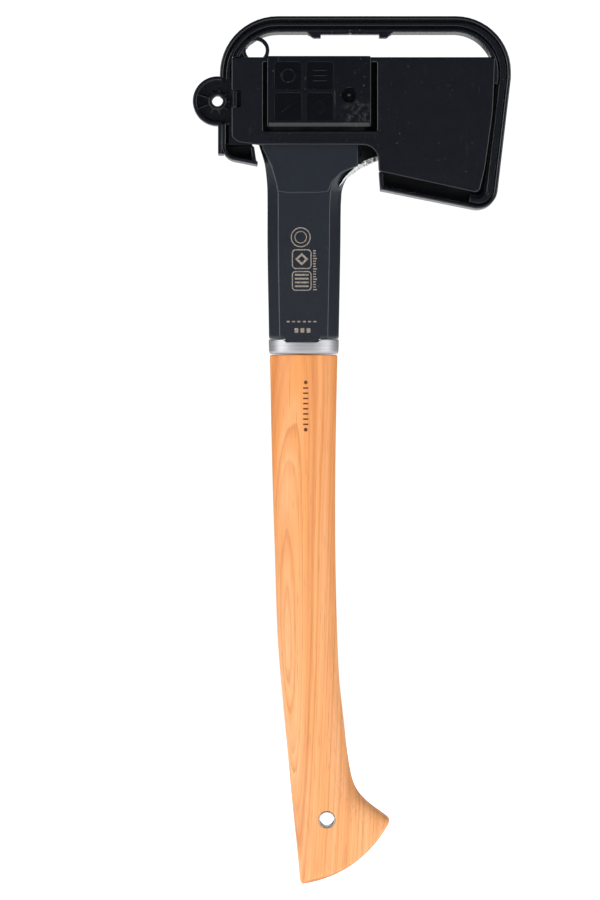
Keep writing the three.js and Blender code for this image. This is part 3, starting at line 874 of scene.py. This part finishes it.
# ---- sheath
LOOP_BAR = 9.3  # width of the loop's bar
RIM = 2.1
INNER_RIM = 2.1
LOOP_END = 467.8  # where the loop's right side passes into the guard
EYELET, EYELET_BORE = (-27.8, 484.0), 5.75
TOOTH_DROP, TOOTH_SLOPE = 3.4, 3.7
TEETH_BACK = -8.0  # the teeth's full depth ends here and only their roots go on
LOOP_PATH = rounded([[LOOP_LOW.x, HUB_CENTRE[1] - 4], [LOOP_LOW.x, LOOP_HIGH.z, 33.5],
                     [LOOP_HIGH.x, LOOP_HIGH.z, 32], [LOOP_HIGH.x, LOOP_END]], closed=False)
GUARD_END = Vector((44.4, 403.3))
GUARD_PATH = rounded([[LOOP_HIGH.x, LOOP_END], [110.7, 390.0, 11.6], [*GUARD_END]], closed=False)
OUTER_PATH = LOOP_PATH[:-1] + GUARD_PATH
FLOOR_END = 95.0  # from here to the heel the guard is a deep open trough
TOE, HEEL = OUTER_PATH[-2:]
FLOOR_PATH = OUTER_PATH[:-1] + [TOE.lerp(HEEL, (TOE.x - FLOOR_END) / (TOE.x - HEEL.x))]


def widening(distance, more):
    """A distance from the outer path that changes where the loop's top turns down its right side."""
    return lambda point: distance + more * min(max((point.x - 88) / 24, 0), 1)


def sheath_frame():
    """One moulding: carry loop, edge guard, tail and hub, with a channel between its rims."""
    body = plate("sheath_frame", [band(OUTER_PATH, 0, RIM)], SHELL_FRONT, SHELL_BACK, 0.75, 3)
    parts = []

    def add(name, loop, front, back, bevel=0.3, rows=2):
        parts.append(plate(name, [loop], front, back, bevel, rows))

    # Channel floor, with a raised land between two narrow grooves, and the loop's inner rim
    add("floor", band(FLOOR_PATH, RIM - 0.4, LOOP_BAR - 1.4), FLOOR_FRONT, FLOOR_BACK, 0.1, 1)
    land = band(FLOOR_PATH, widening(3.4, -1.1), widening(5.9, 0.7))
    add("land", land, SHELL_FRONT + 1.5, FLOOR_FRONT + 0.5, 0.7, 3)
    rim_path = LOOP_PATH + [GUARD_PATH[0].lerp(GUARD_PATH[1], 0.065)]
    inner_rim = band(rim_path, LOOP_BAR - INNER_RIM, widening(LOOP_BAR, 0.6))
    add("inner_rim", inner_rim, SHELL_FRONT, SHELL_BACK, 0.6, 3)
    # Under the bar: two teeth with a thicker stretch between them, and a lashing eyelet at the left
    bar = LOOP_HIGH.z - LOOP_BAR
    root, drop = bar + 0.6, bar - TOOTH_DROP
    for foot, way in ((1.8, 1), (51.6, -1)):
        tooth = [[foot - way, root], [foot, bar, 0.4], [foot + way * TOOTH_SLOPE, drop, 0.4],
                 [foot + way * (TOOTH_SLOPE + 4.3), drop, 0.4], [foot + way * (TOOTH_SLOPE + 4.5), root]]
        add("tooth", rounded(tooth), SHELL_FRONT, TEETH_BACK, 0.25)
        raised = [[x, min(z + 1.3, root), *rest] for x, z, *rest in tooth]
        add("tooth_root", rounded(raised), SHELL_FRONT + 2, SHELL_BACK, 0.25)
    low = bar - 1.3
    thick = rounded([[9, root], [9, low], [25.6, low, 0.8], [26.8, bar - 0.3, 0.8], [28, low, 0.8],
                     [44.4, low], [44.4, root]])
    add("thick_bar", thick, SHELL_FRONT, TEETH_BACK, 0.25)
    add("eyelet", circle(EYELET, 7.9), SHELL_FRONT + 0.3, SHELL_FRONT + 6, 0.4)
    web = polygon((-41, PLATE_TOP - 1), (-32, PLATE_TOP - 1), (-30, 489), (-36, 494))
    add("eyelet_web", web, SHELL_FRONT + 2.5, SHELL_FRONT + 6)
    # Edge guard: end wall, and a back wall that laps behind the bit
    x, z = GUARD_END
    end = polygon((x, z), (x + 2.0, z - 0.4), (x + 1.2, z + 10.2), (x - 0.8, z + 10.5))
    add("guard_end", end, SHELL_FRONT + 2.0, SHELL_BACK)
    lap = 97
    inner = polygon((x + 0.3, beard_bottom(x) - 0.2), (lap, beard_bottom(lap) - 0.2), (lap, LOOP_END))
    add("back_wall", shifted(GUARD_PATH, 0.8) + inner, SHELL_BACK - 2, SHELL_BACK)
    # Tail: outer stub, curved channel wall, tip and back wall
    left, back = TAIL_LOW.x, SHELL_BACK - 1
    add("tail_stub", rectangle(left, left + 2.2, TAIL_STUB, HUB_CENTRE[1], 0.3), SHELL_FRONT, back, 0.4)
    foot = rectangle(left + 0.3, left + 3.2, TAIL_STUB - 0.1, TAIL_STUB + 3, 0.5)
    add("stub_foot", foot, SHELL_FRONT + 1.2, SHELL_BACK - 4)
    tail = rounded([[-47.5, HUB_CENTRE[1]], [-47.5, 421.8, 9], [-27.2, TAIL_LOW.z]], closed=False)
    add("tail_wall", band(tail, 0, -2.1), SHELL_FRONT, back, 0.4)
    tip = polygon((-29.5, 418.7), (-27.2, TAIL_LOW.z), (-28.7, 428), (-30.8, 428))
    add("tail_tip", tip, SHELL_FRONT, back, 0.4)
    inner = polygon((-29.4, 429.8), (-39.2, 429.8), (-39.2, 446), (-46, 446))
    add("tail_back", shifted(tail, -1) + inner, SHELL_BACK - 3, back, 0.2)
    parts.append(box_solid("tail_shelf", (-46, SHELL_FRONT + 3, 429.2), (-29.8, SHELL_BACK - 1.2, 430.1)))
    corner_web = box_solid("corner_web", (-43.5, -16.4, 429.4), (-31, -12.6, LATCH_LOW.z - 1.2))
    unite(body, *parts)
    carve(body, box_solid("head_room", (POLL_SIDE, -BEYOND, 430.3), (POLL_SIDE + 20, BEYOND, PLATE_TOP + 0.2)),
          box_solid("latch_room", (-44.6, HUB_HIGH.y + 0.2, 446), (-20, BEYOND, 466)))
    unite(body, corner_web)
    carve(body, round_cutter("eyelet_hole", EYELET, EYELET_BORE))
    hub(body)
    return softened(body, 0.14)


def hub(body):
    """Ribbed round hub beside the poll, joined to the loop's foot."""
    centre, radius, front, back = Vector(HUB_CENTRE), HUB_RADIUS, HUB_LOW.y - 1.2, HUB_HIGH.y
    floor_front = front + 5.2
    carve(body, round_cutter("hub_room", centre, radius - 0.4, SHELL_FRONT - 3, back + 0.01),
          round_cutter("hub_way", centre, HUB_BORE + 0.4))
    rim = plate("hub_rim", ring_loops(centre, radius, radius - 2.3, 72), front, back, 0.5)
    carve(rim, box_solid("hub_gate", (centre.x + 2.6, front - 1, 440), (-20, floor_front, 480)))
    floor = [circle(centre, radius - 1, 72), hole(circle(centre, 4))]
    unite(rim, plate("hub_boss", ring_loops(centre, 5.2, HUB_BORE, 48), front - 0.6, back, 0.45),
          plate("hub_floor", floor, floor_front, back, 0.1))
    for number in range(9):
        angle = math.radians(40 * number)
        way = Vector((math.cos(angle), math.sin(angle)))
        tall = number in (4, 5)
        rib = bar_loop(centre + way * 4.6, centre + way * (radius - 1 if tall else 7.6), 0.8)
        unite(rim, plate("hub_rib", [rib], front + (2.8 if tall else 4.0), back - 1, 0.2, 1))
    carve(rim, box_solid("hub_cut", (POLL_SIDE, -BEYOND, 430), (-20, BEYOND, 480)))
    unite(body, rim)


def sheath_plate():
    """Front plate with its deck over the head, the tongue's opening and the latch window."""
    outline = rounded([[-41.9, PLATE_TOP, 1.6], [-41.9, 433.5, 4], [-37.6, 430.6, 4], [-26.5, 429.2, 8],
                       [42.6, 429.2, 9], [43.3, 413.9, 1.5], [101.5, 401.2, 3], [105.1, 416, 60],
                       [109.6, 449, 90], [PLATE_HIGH.x, PLATE_TOP, 1]])
    opening = rectangle(TONGUE_LOW.x - 2.3, TONGUE_HIGH.x + 3.4, TONGUE_LOW.z - 2.3, 477, 0.8)
    window = rectangle(-43, -36.4, LATCH_LOW.z - 0.3, LATCH_HIGH.z + 0.3, 0.3)
    body = plate("sheath_plate", [outline, hole(opening)], PLATE_FRONT, PLATE_FRONT + PLATE_THICK, 0.72, 4)
    deck_low = (-40.9, TONGUE_HIGH.y + 0.6, PLATE_TOP - 2)
    unite(body, box_solid("deck", deck_low, (PLATE_HIGH.x - 0.8, PLATE_HIGH.y, PLATE_TOP)))
    carve(body, cutter("window", [window], -BEYOND, -10, 0.02))
    seat = rectangle(TONGUE_LOW.x - 0.3, TONGUE_HIGH.x + 0.3, 460, 500)
    carve(body, cutter("tongue_seat", [seat], -BEYOND, TONGUE_HIGH.y + 0.5, 0.02))
    # A return flange under the beard, a thin ledge near the heel, and a shallow step under the tongue
    heel, toe = Vector((45.6, 413.9)), Vector((99.5, 402.1))
    flange = [heel, toe, toe + Vector((0.1, 0.45)), heel + Vector((0.1, 0.45))]
    unite(body, plate("return_flange", [flange], PLATE_FRONT + 1, PLATE_FRONT + 7, 0.05, 1))
    ledge, strip = rectangle(97.5, 104.4, 420.2, 421.0, 0.3), rectangle(-20, 41, 431.6, 436.2, 0.6)
    unite(body, plate("ledge", [ledge], PLATE_FRONT, PLATE_FRONT + 1, 0.05, 1))
    carve(body, plate("strip", [strip], PLATE_FRONT - 2, PLATE_FRONT + 0.35, 0.1, 1))
    return softened(body, 0.18)


RECESS_SIDE, RECESS_GAP = 15.9, 2.4
DIMPLE = (26.2, 458.2)


def spring_tongue():
    """A panel with four recesses, a thumb dimple with a pip in it, and a proud lip along its free end."""
    low, high = TONGUE_LOW, TONGUE_HIGH
    front = low.y + 0.7
    body = plate("tongue", [rectangle(low.x, high.x, low.z, high.z, 1.2)], front, high.y, 0.45)
    side, step = RECESS_SIDE, RECESS_SIDE + RECESS_GAP
    for column in range(2):
        for row in range(2):
            x, z = low.x + 4.2 + column * step, low.z + 3.9 + row * (step - 0.3)
            recess = rectangle(x, x + side, z, z + side, 2.4)
            carve(body, plate("recess", [recess], front - 1, front + 0.36, 0.1, 2))
            unite(body, *tongue_figure(column, row, x + side / 2, z + side / 2, front))
    cup = high.y + 1.8
    unite(body, plate("cup", [circle(DIMPLE, 5.4)], front + 1, cup, 0.3, 2))
    carve(body, plate("dimple", [circle(DIMPLE, 4.6)], front - 1, cup - 0.5, 0.2, 2))
    unite(body, plate("pip", [circle(DIMPLE, 1.15, 32)], front - 0.2, cup - 0.1, 0.8, 6))
    chamfer = ((low.z + 2.7, front + 0.6), (low.z + 2.7, low.y + 0.25), (low.z + 2.2, low.y),
               (low.z + 0.15, low.y + 0.75), (low.z + 0.15, front + 0.6))
    lip = loft("lip", [[(x, y, z) for z, y in chamfer] for x in (low.x + 0.9, high.x - 0.9)])
    unite(body, lip)
    return softened(body, 0.05)


def tongue_figure(column, row, x, z, front):
    """A plain raised figure in each recess: ring, bars, stroke, lozenge."""
    if (column, row) == (0, 1):
        shapes = [ring_loops((x, z), 4.2, 3.4)]
    elif (column, row) == (1, 1):
        shapes = [[rectangle(x - 4, x + 4, z + d - 0.4, z + d + 0.4, 0.3)] for d in (-3, 0, 3)]
    elif (column, row) == (0, 0):
        shapes = [[bar_loop((x - 4, z - 3), (x + 4, z + 3), 1.0)]]
    else:
        r, s = 4.4, 3.2
        shapes = [[polygon((x, z - r), (x + r, z), (x, z + r), (x - r, z)),
                   polygon((x, z + s), (x + s, z), (x, z - s), (x - s, z))]]
    return [plate("figure", loops, front + 0.24, front + 0.7, 0.12, 1) for loops in shapes]


def snap_latch():
    """A bar beside the poll with a hook at its back and a thin flange at its front."""
    low, high = LATCH_LOW, LATCH_HIGH
    hook = rectangle(low.x + 0.5, high.x, low.z + 0.1, high.z - 0.1, 0.3)
    flange = rectangle(low.x - 1.1, high.x + 1.9, low.z - 0.7, high.z + 0.7, 0.3)
    return unite(plate("latch", [rectangle(low.x, high.x - 1, low.z, high.z, 0.4)], low.y, high.y, 0.3),
                 plate("hook", [hook], 12.7, high.y, 0.3), plate("flange", [flange], -13.3, -12.6, 0.1, 1))


# ---- the object
handle = finish_piece(wood_handle(), "hatchet", WOOD, ["wood_handle"])
finish_piece(lanyard_tube(), "hatchet", TUBE_STEEL, ["lanyard_tube"], 60)
finish_piece(collar(), "hatchet", COLLAR_STEEL, ["ferrule"])
neck_piece = finish_piece(neck(), "hatchet", COMPOSITE, ["composite_shaft"])
finish_piece(eye_plug(), "hatchet", COMPOSITE)
finish_piece(axe_head(), "hatchet", HEAD_STEEL, ["axe_head"])
finish_piece(throat_edge(), "hatchet", TUBE_STEEL, angle=14)

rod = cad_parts["joining_rod"]
for material_slot in rod.material_slots:
    material_slot.material = ROD_STEEL

finish_piece(sheath_frame(), "sheath", SHEATH_BLACK,
             ["carry_loop", "edge_guard", "tail_guard", "hub_disc"])
finish_piece(sheath_plate(), "sheath", SHEATH_BLACK, ["front_plate"])
finish_piece(spring_tongue(), "tongue", TONGUE_BLACK, ["spring_tongue"])
finish_piece(snap_latch(), "latch", SHEATH_BLACK, ["snap_latch"])

# Generic printed marks on the neck: a ring, two square frames, a scale of ticks and two rows of dashes
marks = [ring_loops((-1.8, 375.9), 5.8, 5.2), ring_loops((-1.8, 375.9), 3.6, 3.1),
         frame_loops(-6.9, 357.5, 11.4, 0.6, 2.2), frame_loops(-6.9, 344.9, 11.4, 0.6, 2.2),
         [polygon((-1.2, 359.6), (2.6, 363.2), (-1.2, 366.8), (-5.0, 363.2)),
          polygon((-1.2, 361.2), (-3.3, 363.2), (-1.2, 365.2), (0.9, 363.2))]]
marks += [[rectangle(-5.2, 2.8, 347.0 + 2.2 * number, 348.0 + 2.2 * number, 0.3)] for number in range(4)]
marks += [[rectangle(5.4, 7.0 if number % 4 else 7.6, 345.2 + 1.5 * number, 345.9 + 1.5 * number, 0.15)]
          for number in range(16)]
marks += [[rectangle(-9.9 + 3.1 * number, -8.2 + 3.1 * number, 326.6, 327.4, 0.2)] for number in range(6)]
marks += [[rectangle(-5.4 + 3.5 * number, -3.2 + 3.5 * number, 320.6, 323.2, 0.3)] for number in range(3)]
lay_marks("print", marks, neck_piece, PRINT_INK)

# Generic burnt mark on the grip: a column of short strokes between two dots
strokes = [[bar_loop((-0.4, z), (2.6, z), 0.9)] for z in (267.5 + 3.0 * number for number in range(8))]
strokes += [[circle((1.1, z), 1.1, 24)] for z in (264.4, 291.8)]
lay_marks("burn", strokes, handle, BURNT)


# ---- floor and light
FLOOR_SIZE, FLOOR_LEVEL = 3.0, -0.0005  # metres, as the lights' places are
LIT_POINT = Vector((0.0, 0.0, 0.20))
SEEN_LIGHT, AMBIENT_LIGHT = 1.05, 0.03


def staged_floor():
    corners = [(x * FLOOR_SIZE, y * FLOOR_SIZE, FLOOR_LEVEL) for x, y in ((-1, -1), (1, -1), (1, 1), (-1, 1))]
    mesh = bpy.data.meshes.new("floor")
    mesh.from_pydata(corners, [], [(0, 1, 2, 3)])
    floor = new_object("floor", mesh)
    g = Graph("floor_white")
    g.set(Base_Color=grey(0.9), Roughness=0.9, Emission_Color=grey(1), Emission_Strength=1.0)
    floor.data.materials.append(g.material)


def area_light(name, place, size, power):
    data = bpy.data.lights.new(name, "AREA")
    data.shape = "RECTANGLE"
    data.size, data.size_y = size
    data.energy = power
    lamp = new_object(name, data)
    lamp.location = place
    lamp.rotation_euler = (LIT_POINT - Vector(place)).to_track_quat("-Z", "Y").to_euler()


def surroundings():
    """White to the eye; a softer grey for what lights and reflects in the object."""
    world = bpy.data.worlds.new("studio")
    bpy.context.scene.world = world
    world.use_nodes = True
    tree = world.node_tree
    seen, ambient = tree.nodes.new("ShaderNodeBackground"), tree.nodes["Background"]
    for background, strength in ((seen, SEEN_LIGHT), (ambient, AMBIENT_LIGHT)):
        background.inputs["Color"].default_value = (1, 1, 1, 1)
        background.inputs["Strength"].default_value = strength
    path = tree.nodes.new("ShaderNodeLightPath")
    choose = tree.nodes.new("ShaderNodeMixShader")
    tree.links.new(path.outputs["Is Camera Ray"], choose.inputs["Fac"])
    tree.links.new(ambient.outputs["Background"], choose.inputs[1])
    tree.links.new(seen.outputs["Background"], choose.inputs[2])
    tree.links.new(choose.outputs["Shader"], tree.nodes["World Output"].inputs["Surface"])


staged_floor()
surroundings()
area_light("key_left", (-1.75, -1.5, 0.40), (1.4, 1.8), 39)
area_light("key_right", (1.75, -1.5, 0.40), (1.4, 1.8), 29)
area_light("back_fill", (0.0, 1.8, 1.2), (1.6, 1.6), 16)
